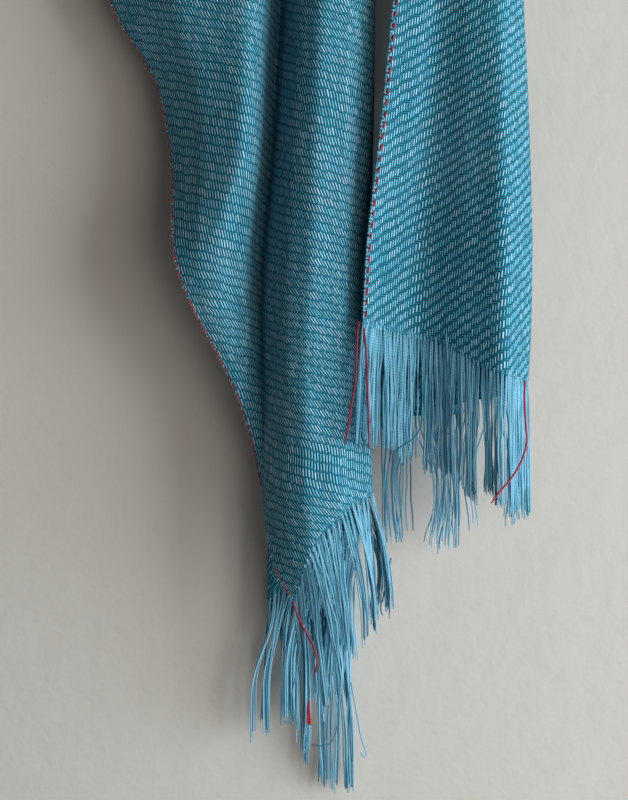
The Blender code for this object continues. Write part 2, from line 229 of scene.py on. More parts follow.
def levelSection(tail, drop):  # rounded section at one drop, and where each column stands on it
    levels = np.array(tail["levels"]) * mm
    corners = [
        [betweenLevels(levels, np.array(row)[:, k] * mm, drop) for k in (0, 1)]
        for row in tail["folds"].values()
    ]
    for forward, _, _, ends in tail["layers"].values():
        end = betweenLevels(levels, np.array(ends) * mm, drop)
        corners += [[corners[-1][0], forward * mm], [end, forward * mm]]
    share = gather["neckShare"] + (1 - gather["neckShare"]) * smoothShare(drop / gather["neckDrop"])
    middle = np.array([0, (gather["front"] + gather["back"]) / 2])
    corners = middle + (np.array(corners) - middle) * share
    along = np.concatenate([[0], np.cumsum(np.hypot(*np.diff(corners, axis=0).T))])
    places = np.linspace(0, along[-1], 420)
    points = np.stack([np.interp(places, along, corners[:, k]) for k in (0, 1)], axis=1)
    reach = gather["rounding"] * (1 + 4 * lineShare(drop))
    points = rounded(points, reach / (places[1] - places[0]))
    columns, used = zip(*tail["anchors"])
    anchored = along[list(used)]
    start, end = tail["evened"][0] * mm, tail["evened"][1] * mm
    near = len(tail["folds"])
    even = anchored[near - 1] * np.array(columns[:near]) / columns[near - 1] - anchored[:near]
    anchored[:near] += even * smoothShare((drop - start) / (end - start))
    return columns, anchored, places, points


def levelRow(tail, drop, columns):  # x, y and the way along the section for each column
    marks, anchored, places, points = levelSection(tail, drop)
    place = np.interp(columns, marks, anchored)
    x = np.interp(place, places, points[:, 0])
    forward = np.interp(place, places, points[:, 1])
    line = lineShare(drop)
    x = x + (tail["side"] * gather["inner"] - x) * line
    y = (alongPeg(columns / gather["columns"]) + forward) * line - forward
    dx, dy = np.gradient(x), np.gradient(y)
    size = np.hypot(dx, dy) + 1e-9
    lift = pleat(columns) * gather["height"] * (1 - smoothShare(drop / gather["pleatFade"]))
    lift = lift * tail["side"]
    for column, reach, first, last, height in tail["creases"]:
        middle, half = (first + last) / 2 * mm, (last - first) / 2 * mm
        along = max(0.0, 1 - ((drop - middle) / half) ** 2) ** 1.5
        lift = lift + height * mm * along * np.exp(-0.5 * ((columns - column) / reach) ** 2)
    return x + dy / size * lift, y - dx / size * lift, place


def tailSurface(tail, columns, shares, gap=0.0003):  # rows of points, and how far along each is
    tailPlan(tail)
    hem = hemDrop(tail, columns)
    drops = np.linspace(0, hem.max() + 0.004, 260)
    table = np.array([levelRow(tail, drop, columns) for drop in drops])
    wanted = gap + np.outer(shares, hem - gap)
    rows = np.empty((len(shares), len(columns), 3))
    along = np.empty((len(shares), len(columns)))
    for c in range(len(columns)):
        rows[:, c, 0] = np.interp(wanted[:, c], drops, table[:, 0, c])
        rows[:, c, 1] = np.interp(wanted[:, c], drops, table[:, 1, c])
        along[:, c] = np.interp(wanted[:, c], drops, table[:, 2, c])
    rows[:, :, 2] = -wanted
    return rows, along


# Where each point of the cloth lies on the loom: across from the front selvedge, and along.
def loomPlaces(tail, columns, rows, along):
    turn = math.radians(tail["warpTurn"])
    drop = -rows[:, :, 2]
    line = lineShare(drop)
    near = tail["foldColumns"][-1]
    nearIndex = int(np.argmin(np.abs(columns - near)))
    nearAlong = along[:, nearIndex:nearIndex + 1]
    hem = hemDrop(tail, columns)[None, :]
    hemNear = along[-1:, nearIndex:nearIndex + 1]
    fade = np.clip(1 - (columns[None, :] - near) / 6, 0, 1)
    across = along * math.cos(turn)
    across += (columns[None, :] / gather["columns"] * gather["width"] - across) * line
    behind = (nearAlong - hemNear) * fade + hemNear
    sideways = np.where(columns[None, :] <= near, along, behind)
    down = drop / math.cos(turn) + sideways * math.sin(turn) * (1 - line)
    lower = (hem - hem[:, nearIndex:nearIndex + 1]) / math.cos(turn)
    down -= np.where(columns[None, :] <= near, 0, lower)
    return across, -down * tail["side"]


def sheetObject(name, rows, across, down, thickness):
    count, wide = rows.shape[:2]
    index = np.arange(count * wide).reshape(count, wide)
    faces = np.stack([index[:-1, :-1], index[:-1, 1:], index[1:, 1:], index[1:, :-1]], axis=-1)
    faces = faces.reshape(-1, 4)
    mesh = bpy.data.meshes.new(name)
    mesh.from_pydata(rows.reshape(-1, 3).tolist(), [], faces.tolist())
    layer = mesh.uv_layers.new(name="weave")
    places = np.stack([across.reshape(-1), down.reshape(-1)], axis=1)[faces.reshape(-1)]
    layer.data.foreach_set("uv", places.reshape(-1).astype(np.float32))
    obj = bpy.data.objects.new(name, mesh)
    bpy.context.scene.collection.objects.link(obj)
    mesh.shade_smooth()
    wall = obj.modifiers.new("wall", "SOLIDIFY")
    wall.thickness = thickness
    wall.offset = 0
    wall.material_offset = 1  # the two faces of the cloth differ
    return obj


# Materials

def link(tree, value, socket):
    if isinstance(value, bpy.types.NodeSocket):
        tree.links.new(value, socket)
    elif value is not None:
        socket.default_value = value


def calc(tree, operation, a, b=None, c=None):
    node = tree.nodes.new("ShaderNodeMath")
    node.operation = operation
    for value, socket in zip((a, b, c), node.inputs):
        link(tree, value, socket)
    return node.outputs[0]


def ramp(tree, value, low, high, outLow=0.0, outHigh=1.0):
    node = tree.nodes.new("ShaderNodeMapRange")
    node.interpolation_type = "SMOOTHSTEP"
    for key, number in (("Value", value), ("From Min", low), ("From Max", high),
                        ("To Min", outLow), ("To Max", outHigh)):
        link(tree, number, node.inputs[key])
    return node.outputs["Result"]


def blendColor(tree, factor, a, b, mode="MIX"):
    node = tree.nodes.new("ShaderNodeMix")
    node.data_type = "RGBA"
    node.blend_type = mode
    link(tree, factor, node.inputs[0])
    link(tree, a, node.inputs[6])
    link(tree, b, node.inputs[7])
    return node.outputs[2]


def noise(tree, vector, scale, detail=2.0, roughness=0.5):
    node = tree.nodes.new("ShaderNodeTexNoise")
    link(tree, vector, node.inputs["Vector"])
    node.inputs["Scale"].default_value = scale
    node.inputs["Detail"].default_value = detail
    node.inputs["Roughness"].default_value = roughness
    return node.outputs["Fac"]


def scatter(tree, x, y=0.0):  # one random value for each whole pair
    pair = tree.nodes.new("ShaderNodeCombineXYZ")
    link(tree, x, pair.inputs[0])
    link(tree, y, pair.inputs[1])
    node = tree.nodes.new("ShaderNodeTexWhiteNoise")
    node.noise_dimensions = "2D"
    tree.links.new(pair.outputs[0], node.inputs["Vector"])
    return node.outputs["Value"]


def newGroup(name, inputs, outputs):
    tree = bpy.data.node_groups.new(name, "ShaderNodeTree")
    for label, kind, value in inputs:
        socket = tree.interface.new_socket(label, in_out="INPUT", socket_type=kind)
        if value is not None:
            socket.default_value = value
    for label, kind in outputs:
        tree.interface.new_socket(label, in_out="OUTPUT", socket_type=kind)
    return tree, tree.nodes.new("NodeGroupInput"), tree.nodes.new("NodeGroupOutput")


def makeTwillGroup():
    tree, given, out = newGroup(
        "handTwill",
        (("Place", "NodeSocketVector", None), ("End Pitch", "NodeSocketFloat", 0.0022),
         ("Pick Pitch", "NodeSocketFloat", 0.0020), ("Float Width", "NodeSocketFloat", 0.29),
         ("Float Reach", "NodeSocketFloat", 0.25),
         ("Weft", "NodeSocketColor", (0, 0.15, 0.24, 1)),
         ("Warp", "NodeSocketColor", (0.4, 0.5, 0.6, 1)),
         ("Silver", "NodeSocketColor", (0.6, 0.6, 0.7, 1)),
         ("Gap", "NodeSocketColor", (0, 0.03, 0.06, 1))),
        (("Color", "NodeSocketColor"), ("Height", "NodeSocketFloat")),
    )
    place = given.outputs["Place"]
    wander = tree.nodes.new("ShaderNodeTexNoise")
    tree.links.new(place, wander.inputs["Vector"])
    wander.inputs["Scale"].default_value = 55
    wander.inputs["Detail"].default_value = 3
    drift = tree.nodes.new("ShaderNodeVectorMath")
    drift.operation = "MULTIPLY_ADD"
    tree.links.new(wander.outputs["Color"], drift.inputs[0])
    drift.inputs[1].default_value = (0.0018, 0.0022, 0)
    tree.links.new(place, drift.inputs[2])
    parts = tree.nodes.new("ShaderNodeSeparateXYZ")
    tree.links.new(drift.outputs[0], parts.inputs[0])
    ends = calc(tree, "DIVIDE", parts.outputs[0], given.outputs["End Pitch"])
    end = calc(tree, "FLOOR", ends)
    aside = calc(tree, "ABSOLUTE", calc(tree, "SUBTRACT", calc(tree, "FRACT", ends), 0.5))
    picks = calc(tree, "DIVIDE", parts.outputs[1], given.outputs["Pick Pitch"])
    picks = calc(tree, "ADD", picks, calc(tree, "MULTIPLY", scatter(tree, end), 1.1))
    repeat = calc(tree, "DIVIDE", calc(tree, "SUBTRACT", picks, end), 5.0)
    cell = calc(tree, "FLOOR", repeat)
    step = calc(tree, "FRACT", repeat)
    # a warp float lies over some picks of each five, with round ends, and weft shows between
    spread = calc(tree, "MULTIPLY_ADD", scatter(tree, end, cell), 0.3, 0.85)
    width = calc(tree, "MULTIPLY", given.outputs["Float Width"], spread)
    sideways = calc(tree, "DIVIDE", aside, width)
    reach = calc(tree, "ABSOLUTE", calc(tree, "SUBTRACT", step, 0.42))
    clear = calc(tree, "SUBTRACT", reach, given.outputs["Float Reach"])
    beyond = calc(tree, "MAXIMUM", calc(tree, "MULTIPLY", clear, 5.0), 0.0)
    distance = calc(tree, "SQRT", calc(tree, "ADD", calc(tree, "POWER", sideways, 2.0),
                                       calc(tree, "POWER", beyond, 2.0)))
    mask = ramp(tree, distance, 0.72, 1.15, 1.0, 0.0)
    core = ramp(tree, sideways, 0.15, 1.0, 1.0, 0.0)
    weftWave = calc(tree, "ABSOLUTE", calc(tree, "SINE", calc(tree, "MULTIPLY", picks, math.pi)))
    weftFloat = calc(tree, "MULTIPLY", ramp(tree, clear, 0.06, 0.16), ramp(tree, weftWave, 0.3, 0.95))
    weftFloat = calc(tree, "MULTIPLY", weftFloat, ramp(tree, aside, 0.22, 0.46, 1.0, 0.45))
    floatHeight = calc(tree, "MULTIPLY", calc(tree, "MULTIPLY_ADD", core, 0.7, 0.3), mask)
    weftHeight = calc(tree, "MULTIPLY_ADD", weftFloat, 0.45, calc(tree, "MULTIPLY", weftWave, 0.2))
    height = calc(tree, "MAXIMUM", floatHeight, weftHeight)
    # colours: floats sky or silvery, brightest along their middle, a painted highlight with painted shade
    # at their sides, over gaps of painted shade and teal weft
    tone = scatter(tree, calc(tree, "ADD", end, 17.0), cell)
    silver = blendColor(tree, ramp(tree, tone, 0.2, 1.0), given.outputs["Warp"], given.outputs["Silver"])
    other = scatter(tree, end, calc(tree, "MULTIPLY_ADD", cell, 3.0, 7.0))
    silver = blendColor(tree, ramp(tree, other, 0.55, 1.0, 0.0, 0.45), silver, given.outputs["Weft"])
    # painted shade: each float darkens towards the gap shade at its sides
    silver = blendColor(tree, calc(tree, "MULTIPLY_ADD", core, -0.45, 0.45), silver, given.outputs["Gap"])
    band = noise(tree, place, 9, 3)
    weft = blendColor(tree, ramp(tree, band, 0.35, 0.7), given.outputs["Weft"], (0.0, 0.20, 0.27, 1))
    pickTone = calc(tree, "MULTIPLY", scatter(tree, calc(tree, "FLOOR", picks), 3.0), 0.5)
    weft = blendColor(tree, pickTone, weft, (0.012, 0.28, 0.43, 1))
    # painted shade: where the weft dips under the floats it takes the gap's painted shade
    shown = calc(tree, "MULTIPLY_ADD", weftFloat, 0.78, ramp(tree, weftWave, 0.2, 0.9, 0.0, 0.14))
    under = blendColor(tree, shown, given.outputs["Gap"], weft)
    color = blendColor(tree, mask, under, silver)
    tree.links.new(color, out.inputs["Color"])
    tree.links.new(height, out.inputs["Height"])
    return tree


def makeWearGroup():  # soft patches, lint and small slubs that every yarn here shares
    tree, given, out = newGroup(
        "yarnPatina",
        (("Color", "NodeSocketColor", None), ("Place", "NodeSocketVector", None),
         ("Amount", "NodeSocketFloat", 0.5)),
        (("Color", "NodeSocketColor"), ("Roughness", "NodeSocketFloat")),
    )
    patches = noise(tree, given.outputs["Place"], 14, 4, 0.6)
    lint = noise(tree, given.outputs["Place"], 900, 2)
    light = calc(tree, "MULTIPLY", ramp(tree, patches, 0.45, 0.8), given.outputs["Amount"])
    lightShare = calc(tree, "MULTIPLY", light, 0.1)
    color = blendColor(tree, lightShare, given.outputs["Color"], (0.35, 0.55, 0.66, 1))
    dark = calc(tree, "MULTIPLY", ramp(tree, patches, 0.5, 0.25), given.outputs["Amount"])
    color = blendColor(tree, calc(tree, "MULTIPLY", dark, 0.25), color, (0.0, 0.07, 0.11, 1))
    color = blendColor(tree, ramp(tree, lint, 0.64, 0.85, 0.0, 0.12), color, (0.5, 0.65, 0.72, 1))
    tree.links.new(color, out.inputs["Color"])
    tree.links.new(ramp(tree, lint, 0.3, 0.7, 0.72, 0.9), out.inputs["Roughness"])
    return tree


def makePlyGroup():  # two plies twisted together, on a strand's own u round and v along
    tree, given, out = newGroup(
        "twistedPly",
        (("Place", "NodeSocketVector", None), ("Turns", "NodeSocketFloat", 380.0)),
        (("Groove", "NodeSocketFloat"), ("Tone", "NodeSocketFloat")),
    )
    parts = tree.nodes.new("ShaderNodeSeparateXYZ")
    tree.links.new(given.outputs["Place"], parts.inputs[0])
    twist = calc(tree, "MULTIPLY", parts.outputs[1], given.outputs["Turns"])
    wave = calc(tree, "ADD", calc(tree, "MULTIPLY", parts.outputs[0], 2.0), twist)
    wave = calc(tree, "ABSOLUTE", calc(tree, "SINE", calc(tree, "MULTIPLY", wave, math.pi)))
    tree.links.new(wave, out.inputs["Groove"])
    tree.links.new(noise(tree, given.outputs["Place"], 60, 2), out.inputs["Tone"])
    return tree


twillGroup = makeTwillGroup()
wearGroup = makeWearGroup()
plyGroup = makePlyGroup()


def useGroup(tree, group, **values):
    node = tree.nodes.new("ShaderNodeGroup")
    node.node_tree = group
    for key, value in values.items():
        link(tree, value, node.inputs[key.replace("_", " ")])
    return node


def newMaterial(name):
    mat = bpy.data.materials.new(name)
    mat.use_nodes = True
    return mat, mat.node_tree, mat.node_tree.nodes["Principled BSDF"]


def bump(tree, shader, height, strength, distance):
    node = tree.nodes.new("ShaderNodeBump")
    node.inputs["Strength"].default_value = strength
    node.inputs["Distance"].default_value = distance
    tree.links.new(height, node.inputs["Height"])
    tree.links.new(node.outputs[0], shader.inputs["Normal"])


def uvPlace(tree, name):
    node = tree.nodes.new("ShaderNodeUVMap")
    node.uv_map = name
    return node.outputs[0]


def objectPlace(tree):
    return tree.nodes.new("ShaderNodeTexCoord").outputs["Object"]


twillLook = {
    "endPitch": 0.00225, "pickPitch": 0.00185,
    "weft": (0.0, 0.19, 0.30, 1), "warp": (0.15, 0.58, 0.82, 1), "silver": (0.38, 0.72, 0.93, 1),
    # gap: painted shade in the spaces between the yarns
    "gap": (0.0, 0.028, 0.058, 1), "patina": 0.45,
    "bumpStrength": 0.55, "bumpDistance": 0.0006, "sheen": 0.05, "sheenTint": (0.55, 0.8, 0.95, 1),
}


def makeTwill(name, reach, width):
    mat, tree, shader = newMaterial(name)
    twill = useGroup(tree, twillGroup, Place=uvPlace(tree, "weave"), Float_Reach=reach, Float_Width=width,
                     End_Pitch=twillLook["endPitch"], Pick_Pitch=twillLook["pickPitch"],
                     Weft=twillLook["weft"], Warp=twillLook["warp"],
                     Silver=twillLook["silver"], Gap=twillLook["gap"])
    worn = useGroup(tree, wearGroup, Color=twill.outputs["Color"], Place=objectPlace(tree),
                    Amount=twillLook["patina"])
    tree.links.new(worn.outputs["Color"], shader.inputs["Base Color"])
    tree.links.new(worn.outputs["Roughness"], shader.inputs["Roughness"])
    bump(tree, shader, twill.outputs["Height"], twillLook["bumpStrength"], twillLook["bumpDistance"])
    shader.inputs["Sheen Weight"].default_value = twillLook["sheen"]
    shader.inputs["Sheen Roughness"].default_value = 0.5
    shader.inputs["Sheen Tint"].default_value = twillLook["sheenTint"]
    shader.inputs["Specular IOR Level"].default_value = 0.25
    return mat


def makeYarn(name, light, dark, turns=420.0):
    mat, tree, shader = newMaterial(name)
    place = uvPlace(tree, "strand")
    ply = useGroup(tree, plyGroup, Place=place, Turns=turns)
    parts = tree.nodes.new("ShaderNodeSeparateXYZ")
    tree.links.new(place, parts.inputs[0])
    strand = scatter(tree, calc(tree, "FLOOR", parts.outputs[0]))  # each strand has its own tone
    color = blendColor(tree, ramp(tree, strand, 0.25, 0.95), light, dark)
    color = blendColor(tree, ramp(tree, ply.outputs["Tone"], 0.4, 0.7, 0.0, 0.4), color, light)
    # painted shade: the yarn darkens in the grooves between its plies
    color = blendColor(tree, ramp(tree, ply.outputs["Groove"], 0.45, 0.0, 0.0, 0.6), color, dark)
    worn = useGroup(tree, wearGroup, Color=color, Place=objectPlace(tree), Amount=0.35)
    tree.links.new(worn.outputs["Color"], shader.inputs["Base Color"])
    tree.links.new(worn.outputs["Roughness"], shader.inputs["Roughness"])
    bump(tree, shader, ply.outputs["Groove"], 0.6, 0.0004)
    shader.inputs["Sheen Weight"].default_value = 0.08
    shader.inputs["Sheen Roughness"].default_value = 0.45
    shader.inputs["Specular IOR Level"].default_value = 0.25
    return mat


def makeWood():
    mat, tree, shader = newMaterial("turnedWood")
    place = tree.nodes.new("ShaderNodeMapping")
    place.inputs["Scale"].default_value = (38, 5, 38)
    tree.links.new(objectPlace(tree), place.inputs["Vector"])
    grain = noise(tree, place.outputs[0], 3.2, 6, 0.65)
    pores = noise(tree, place.outputs[0], 24, 2)
    color = blendColor(tree, ramp(tree, grain, 0.3, 0.7), (0.20, 0.10, 0.045, 1), (0.40, 0.23, 0.11, 1))
    color = blendColor(tree, ramp(tree, pores, 0.6, 0.75, 0.0, 0.55), color, (0.09, 0.04, 0.02, 1))
    tree.links.new(color, shader.inputs["Base Color"])
    tree.links.new(ramp(tree, pores, 0.4, 0.7, 0.38, 0.55), shader.inputs["Roughness"])
    bump(tree, shader, pores, 0.25, 0.0004)
    shader.inputs["Coat Weight"].default_value = 0.15
    shader.inputs["Coat Roughness"].default_value = 0.3
    return mat


innerTwill = makeTwill("innerTwill", 0.215, 0.24)  # the face with the long warp floats
outerTwill = makeTwill("outerTwill", 0.12, 0.25)  # the other face, with short ones
fringeMaterial = makeYarn("skyYarn", (0.19, 0.48, 0.66, 1), (0.025, 0.17, 0.28, 1))
redMaterial = makeYarn("redYarn", (0.40, 0.028, 0.05, 1), (0.20, 0.010, 0.024, 1))
edgeMaterial = makeYarn("edgeYarn", (0.20, 0.50, 0.68, 1), (0.01, 0.17, 0.27, 1))
# the hem yarn is the hem cord's own teal and also gives one fringe strand its painted shade
hemAndShadeMaterial = makeYarn("hemAndShadeYarn", (0.02, 0.27, 0.38, 1), (0.0, 0.12, 0.19, 1))
woodMaterial = makeWood()
print("materials ready")

# Cloth

cloth = {"thickness": 0.0011, "perColumn": 4, "leftRows": 170, "rightRows": 150, "arcRows": 30}


def rowShares(count):  # rows stand closer near the peg and near the hem
    t = np.linspace(0, 1, count)
    return t - 0.055 * np.sin(2 * math.pi * t) * (t < 1)


columns = np.linspace(0, gather["columns"], gather["columns"] * cloth["perColumn"] + 1)
addEdgePoint(leftTail)
addWingBow(leftTail)
surfaces = {}
for name, tail, count in (("leftCloth", leftTail, cloth["leftRows"]),
                          ("rightCloth", rightTail, cloth["rightRows"])):
    rows, along = tailSurface(tail, columns, rowShares(count))
    across, down = loomPlaces(tail, columns, rows, along)
    piece = sheetObject(name, rows, across, down, cloth["thickness"])
    for face in (outerTwill, innerTwill) if tail["side"] < 0 else (innerTwill, outerTwill):
        piece.data.materials.append(face)
    surfaces[name] = (rows, along, across, down)
    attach(piece, "root")
    print(name, "laid in", len(piece.data.polygons), "faces")
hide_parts("left_tail")
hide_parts("right_tail")

angles = np.linspace(0, math.pi, cloth["arcRows"] + 1)
radius = gather["inner"] + gather["height"] * pleat(columns)
arc = np.stack([
    np.outer(np.cos(angles), radius),
    np.tile(alongPeg(columns / gather["columns"]), (len(angles), 1)),
    np.outer(np.sin(angles), radius),
], axis=-1)
middleRadius = gather["inner"] + gather["height"] / 2
overPeg = sheetObject(
    "pegCloth", arc, np.tile(columns / gather["columns"] * gather["width"], (len(angles), 1)),
    np.tile(angles[:, None] * middleRadius, (1, len(columns))), cloth["thickness"],
)
overPeg.data.materials.append(outerTwill)
overPeg.data.materials.append(innerTwill)
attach(overPeg, "root")
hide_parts("over_peg")
print("cloth over the peg laid")

# Yarn: strands, knots and stitches are all swept tubes


def tubes(name, paths, radii, sides, material, tip=0.75):
    verts, faces, places = [], [], []
    base = 0
    for number, (path, thick) in enumerate(zip(paths, radii)):
        path = np.asarray(path)
        count = len(path)
        ahead = np.gradient(path, axis=0)
        ahead /= np.linalg.norm(ahead, axis=1, keepdims=True) + 1e-12
        guide = np.array([0.18, 1.0, 0.11]) if abs(ahead[0][1]) < 0.8 else np.array([1.0, 0.1, 0.2])
        first = np.cross(ahead, guide)
        first /= np.linalg.norm(first, axis=1, keepdims=True) + 1e-12
        second = np.cross(ahead, first)
        share = np.linspace(0, 1, count)
        size = thick * (1 - (1 - tip) * np.clip((share - 0.85) / 0.15, 0, 1))
        turn = np.arange(sides) / sides * 2 * math.pi
        ring = (np.cos(turn)[None, :, None] * first[:, None, :]
                + np.sin(turn)[None, :, None] * second[:, None, :])
        verts.append((path[:, None, :] + ring * size[:, None, None]).reshape(-1, 3))
        length = np.concatenate([[0], np.cumsum(np.linalg.norm(np.diff(path, axis=0), axis=1))])
        for k in range(count - 1):
            for s in range(sides):
                n = (s + 1) % sides
                faces.append((base + k * sides + s, base + k * sides + n,
                              base + (k + 1) * sides + n, base + (k + 1) * sides + s))
                u, w = number + s / sides * 0.98, number + (s + 1) / sides * 0.98
                places += [(u, length[k]), (w, length[k]), (w, length[k + 1]), (u, length[k + 1])]
        for ringStart, order in ((0, 1), ((count - 1) * sides, -1)):
            cap = [base + ringStart + s for s in range(sides)][::-order]
            faces.append(tuple(cap))
            places += [(number + 0.5, length[0 if order == 1 else -1])] * sides
        base += count * sides
    mesh = bpy.data.meshes.new(name)
    mesh.from_pydata(np.concatenate(verts).tolist(), [], faces)
    mesh.uv_layers.new(name="strand").data.foreach_set("uv", np.array(places, np.float32).reshape(-1))
    mesh.materials.append(material)
    mesh.shade_smooth()
    obj = bpy.data.objects.new(name, mesh)
    bpy.context.scene.collection.objects.link(obj)
    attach(obj, "root")
    return obj


def hemLine(rows):  # the hem's points and the way along it
    edge = rows[-1]
    runs = np.linalg.norm(np.diff(edge, axis=0), axis=1)
    return edge, np.concatenate([[0], np.cumsum(runs)])


def inClump(fringe, share, x):  # the bundle that a strand with this root hangs in, if any
    for first, last, left, right, centre, pull, length in fringe["clumps"]:
        if first <= share <= last and atPixel(left, 0, 0).x <= x < atPixel(right, 0, 0).x:
            return atPixel(centre, 0, 0).x, pull, length
    return None


def swayOf(steps, wave, phase):  # how far a strand wanders sideways, from nothing at its root
    sway = 0
    for k in range(3):
        turn = (k + 1) * 2.2 * steps * math.pi + phase[k]
        sway = sway + wave[k] / (k + 1) * (np.sin(turn) - math.sin(phase[k]))
    return sway * smoothShare(steps / 0.35)


def fringePaths(rows, fringe):
    edge, along = hemLine(rows)
    count = fringe["strands"]
    shares = np.array([row[0] for row in fringe["shape"]])
    swings, lengths, density = (np.array([row[k] for row in fringe["shape"]]) for k in (1, 2, 3))
    # strands stand closer where the table's density is higher
    fine = np.linspace(0, 1, 400)
    weight = np.cumsum(np.interp(fine, shares, density))
    spots = np.interp(np.linspace(0.002, 0.998, count), weight / weight[-1], fine) * along[-1]
    bunches, locks, k = [], [], 0
    while k < count:  # strands leave the hem in bunches of three to six
        size = int(rng.integers(3, 7))
        bunches.append(range(k, min(k + size, count)))
        k += size
    k = 0
    while k < len(bunches):  # and a few bunches cling together further down as a lock
        size = int(rng.integers(*fringe["lockSize"]))
        locks.append(bunches[k:k + size])
        k += size
    paths, knots = [], []
    steps = np.linspace(0, 1, fringe["steps"])

    def at(place):
        return np.array([np.interp(place, along, edge[:, axis]) for axis in range(3)])

    for lock in locks:
        heart = float(np.mean([spots[i] for bunch in lock for i in bunch]))
        lockLean = rng.normal(0, fringe["lockLean"]) * mm
        pull = rng.uniform(*fringe["pull"])
        lockLength = 1 + rng.normal(0, 0.03)
        for bunch in lock:
            centre = float(np.mean([spots[i] for i in bunch]))
            lean = lockLean + rng.normal(0, fringe["bunchLean"]) * mm
            knots.append(at(centre))
            for i in bunch:
                start = at(centre + (spots[i] - centre) * 0.42)
                side = at(spots[i] + 0.002) - at(spots[i] - 0.002)
                side[2] = 0
                side /= np.linalg.norm(side) + 1e-9
                out = np.array([side[1], -side[0], 0])
                share = spots[i] / along[-1]
                length = float(np.interp(share, shares, lengths)) * mm * lockLength
                length *= 1 + rng.normal(0, 0.022)
                swing = float(np.interp(share, shares, swings)) * mm + lean
                spread = smoothShare(steps / 0.25)[:, None] * (at(spots[i]) - start)[None, :]
                spread[:, 2] = 0
                gatherIn = pull * smoothShare(steps / 0.55) * (1 - 0.35 * smoothShare((steps - 0.7) / 0.3))
                inward = (at(heart) - at(spots[i]))[None, :] * gatherIn[:, None]
                inward[:, 2] = 0
                wave = rng.normal(0, fringe["wave"], 3) * mm
                phase = rng.uniform(0, 2 * math.pi, 3)
                wander = swayOf(steps, wave, phase)
                deep = rng.normal(0, fringe["depthWave"]) * mm * steps
                deep = deep + 0.25 * mm * np.sin(7 * steps + phase[0])
                drift = rng.normal(0, fringe["drift"]) * mm * steps**1.4
                path = start[None, :] + spread + inward
                path = path + side[None, :] * (wander + drift)[:, None] + out[None, :] * deep[:, None]
                clump = inClump(fringe, share, at(spots[i])[0])
                if clump:
                    middle, draw, longer = clump
                    drawn = middle + rng.normal(0, 2.6) * mm - path[:, 0]
                    path[:, 0] += drawn * draw * smoothShare(steps / 0.7)
                    length *= longer
                else:
                    path[:, 0] += swing * (1 - (1 - steps) ** fringe["ease"])
                path[:, 2] -= length * steps - 0.0022
                paths.append(path)
    return paths, knots


leftFringe = {
    "strands": 372, "steps": 18, "wave": 0.7, "depthWave": 1.0, "drift": 1.3, "bunchLean": 1.2,
    "lockLean": 2.0, "lockSize": (3, 6), "pull": (0.4, 0.75), "ease": 1.7,
    # share of the way along the hem, how far the ends swing sideways, length, density
    "shape": ((0, 13, 132, 1.5), (0.08, 17, 120, 1.5), (0.18, 17, 108, 1.4), (0.25, 9, 98, 1.3),
              (0.33, 5, 96, 0.9), (0.43, 2, 104, 0.7), (0.55, 0, 106, 0.8), (0.6, -8, 116, 1.2),
              (0.66, -17, 124, 1.4), (0.71, -18, 124, 1.3), (0.75, -8, 116, 0.9), (0.88, 0, 118, 1.1),
              (1, 0, 116, 1.1)),
    # thick bundles: shares of the hem, pixels between which the roots are, pixel of the
    # bundle's middle, how tightly it is drawn in, how much longer or shorter it hangs
    "clumps": (
        (0.74, 1, 250, 314, 303, 0.62, 0.95), (0.74, 1, 314, 336, 332, 0.4, 1.1),
        (0.74, 1, 336, 390, 356, 0.5, 1.1), (0.57, 0.73, 290, 322, 280, 0.7, 1.03),
        (0.57, 0.73, 276, 290, 262, 0.8, 1.04), (0.57, 0.73, 250, 276, 249, 0.92, 1.05),
        (0.0, 0.05, 280, 306, 314, 0.5, 1.0),
    ),
}
rightFringe = {
    "strands": 320, "steps": 18, "wave": 0.6, "depthWave": 0.9, "drift": 1.2, "bunchLean": 0.9,
    "lockLean": 1.2, "lockSize": (2, 5), "pull": (0.2, 0.6), "ease": 1.6,
    "shape": ((0, -8, 103, 1.6), (0.07, 0, 104, 1.6), (0.15, 0, 112, 1.6), (0.35, 0, 113, 1.5),
              (0.42, 0, 112, 0.7), (0.5, 0, 112, 0.22), (0.7, 0, 116, 0.22), (1, 0, 115, 0.22)),
    "clumps": (),
}
yarn = {
    "radius": 0.00062, "sides": 5, "knot": 0.00098, "cord": 0.00082, "stray": 0.00066,
    "darkStray": 0.0006, "red": 0.00092,
}

for name, clothName, fringe, node in (("leftYarn", "leftCloth", leftFringe, "left_fringe"),
                                      ("rightYarn", "rightCloth", rightFringe, "right_fringe")):
    paths, knots = fringePaths(surfaces[clothName][0], fringe)
    radii = yarn["radius"] * (1 + rng.normal(0, 0.1, len(paths)))
    strands = tubes(name, paths, radii, yarn["sides"], fringeMaterial)
    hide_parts(node)
    bindings = []
    for knot in knots:  # hemstitch: a short twist of yarn round each bunch's root
        tilt = rng.normal(0, 0.25)
        bindings.append([knot + np.array([tilt * t, 0, 1.4 - t * 4.2]) * mm
                         for t in np.linspace(0, 1, 6)])
    radii = [yarn["knot"] + rng.normal(0, 0.0001) for _ in bindings]
    binding = tubes(name + "Knots", bindings, radii, 6, edgeMaterial)
    edge = surfaces[clothName][0][-1]  # the last weft picks, packed into a cord along the hem
    cords = [edge + np.array([0, 0, height]) * mm for height in (0.3, -0.9)]
    hemCord = tubes(name + "Cord", cords, [yarn["cord"]] * 2, 6, hemAndShadeMaterial, 1.0)
    print(name, len(paths), "strands in", len(knots), "bunches")

# Selvedge: weft loops over the edge, and red running stitches beside it

selvedge = {
    "loopPitch": 3.3, "loopRadius": 0.00062, "loopReach": 1.6,
    # red stitches: from one to the next, length, thickness, distance in from the edge
    "leftStitch": (7.6, 6.2, 0.00066, 0.9), "rightStitch": (9.4, 5.4, 0.00105, 2.7),
    "turnedUnder": (892, 956),  # drops between which the left edge is behind the roll
}


